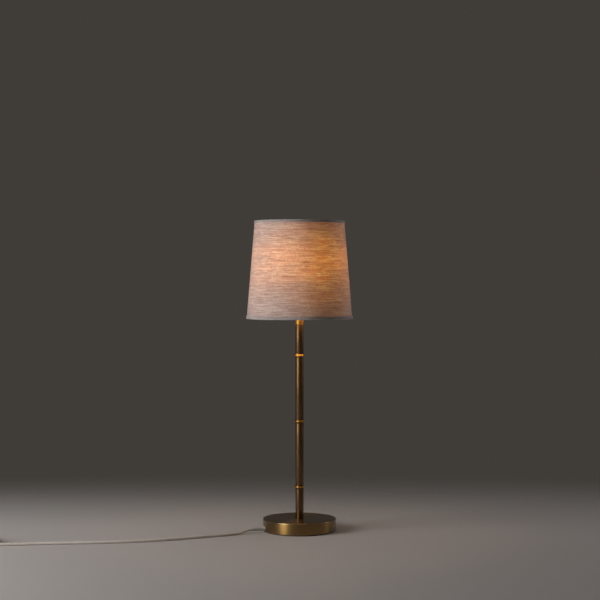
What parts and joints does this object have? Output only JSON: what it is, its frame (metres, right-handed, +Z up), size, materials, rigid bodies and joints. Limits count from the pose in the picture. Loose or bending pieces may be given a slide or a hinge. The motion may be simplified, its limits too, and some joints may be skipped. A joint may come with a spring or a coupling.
{
  "type": "table lamp",
  "caption": "Table lamp with a round weighted brass foot, a slim ringed brass stem, a tapered linen drum shade, a screw-base bulb and a mains lead with plug.",
  "frame": {"origin": "centre of the foot's underside, on the surface that the lamp stands on", "axes": "+Z up along the stem, +X to the right as the picture shows the lamp, +Y away from the viewer; the lead leaves the foot near -X"},
  "size_m": [0.7585, 0.2761, 0.5927],
  "materials": {
    "aged_brass": "satin, darkened with age",
    "bright_brass": "polished",
    "plain_brass": "turned",
    "cast_iron": "rough cast, painted",
    "dark_felt": "felted",
    "zinc_steel": "zinc plated",
    "black_phenolic": "moulded, half gloss",
    "white_insulator": "unglazed ceramic",
    "white_enamel": "stoved enamel on wire",
    "linen": "slub linen",
    "linen_trim": "slub linen, folded",
    "shade_liner": "satin sheet",
    "opal_glass": "opal, lit from inside",
    "clear_glass": "clear",
    "nickel": "nickel plated",
    "black_glass": "glassy",
    "tungsten": "drawn wire",
    "lead_sheath": "translucent soft sheath",
    "brown_core": "extruded",
    "blue_core": "extruded",
    "tie_strap": "woven hook strap"
  },
  "bodies": {
    "lamp_base": {"base_shell": "aged_brass", "base_weight": "cast_iron", "base_felt": "dark_felt", "threaded_rod": "zinc_steel", "rod_washer": "zinc_steel", "lock_washer": "zinc_steel", "rod_nut": "zinc_steel", "foot_bush": "plain_brass", "stem_tube_1": "aged_brass", "stem_tube_2": "aged_brass", "stem_tube_3": "aged_brass", "stem_tube_4": "aged_brass", "node_ring_1": "bright_brass", "node_ring_2": "bright_brass", "node_ring_3": "bright_brass", "holder_cap": "bright_brass", "holder_grub_screw": "zinc_steel", "holder_insert": "white_insulator", "holder_skirt": "black_phenolic", "screw_shell": "plain_brass", "centre_contact": "plain_brass", "terminal_live": "plain_brass", "terminal_neutral": "plain_brass", "terminal_screw_live": "zinc_steel", "terminal_screw_neutral": "zinc_steel", "switch_block": "black_phenolic", "strain_relief": "lead_sheath", "lead_inner": "lead_sheath", "lead_core_live": "brown_core", "lead_core_neutral": "blue_core", "lead_run": "lead_sheath", "lead_coil": "lead_sheath", "lead_tail": "lead_sheath", "lead_tie": "tie_strap", "plug_body": "lead_sheath", "plug_pin_1": "nickel", "plug_pin_2": "nickel"},
    "shade_unit": {"shade_fitter": "white_enamel", "shade_bottom_frame": "white_enamel", "shade_top_ring": "white_enamel", "shade_liner": "shade_liner", "shade_fabric": "linen", "shade_trim_bottom": "linen_trim", "shade_trim_top": "linen_trim"},
    "ring_unit": {"shade_ring": "black_phenolic"},
    "bulb_tip": {"bulb_contact": "nickel"},
    "bulb_unit": {"bulb_insulator": "black_glass", "bulb_cap": "nickel", "bulb_glass": "opal_glass", "bulb_mount": "clear_glass", "bulb_filament": "tungsten"},
    "switch_unit": {"switch_bar": "bright_brass"}
  },
  "joints": [
    {"name": "shade_swivel", "type": "hinge", "parent": "lamp_base", "child": "shade_unit", "pos_m": [0, 0, 0.4425], "axis": [0, 0, 1], "continuous": true},
    {"name": "ring_lift", "type": "slide", "parent": "lamp_base", "child": "ring_unit", "axis": [0, 0, 1], "range_m": [0, 0.008]},
    {"name": "bulb_rise", "type": "slide", "parent": "lamp_base", "child": "bulb_tip", "axis": [0, 0, 1], "range_m": [0, 0.0145]},
    {"name": "bulb_turn", "type": "hinge", "parent": "bulb_tip", "child": "bulb_unit", "pos_m": [0, 0, 0.4417], "axis": [0, 0, 1], "range_deg": [0, 1440]},
    {"name": "switch_push", "type": "slide", "parent": "lamp_base", "child": "switch_unit", "axis": [1, 0, 0], "range_m": [0, 0.006]}
  ],
  "couplings": [
    {"joint": "bulb_turn", "follows": "bulb_rise", "rad_per_m": 1730.9}
  ]
}
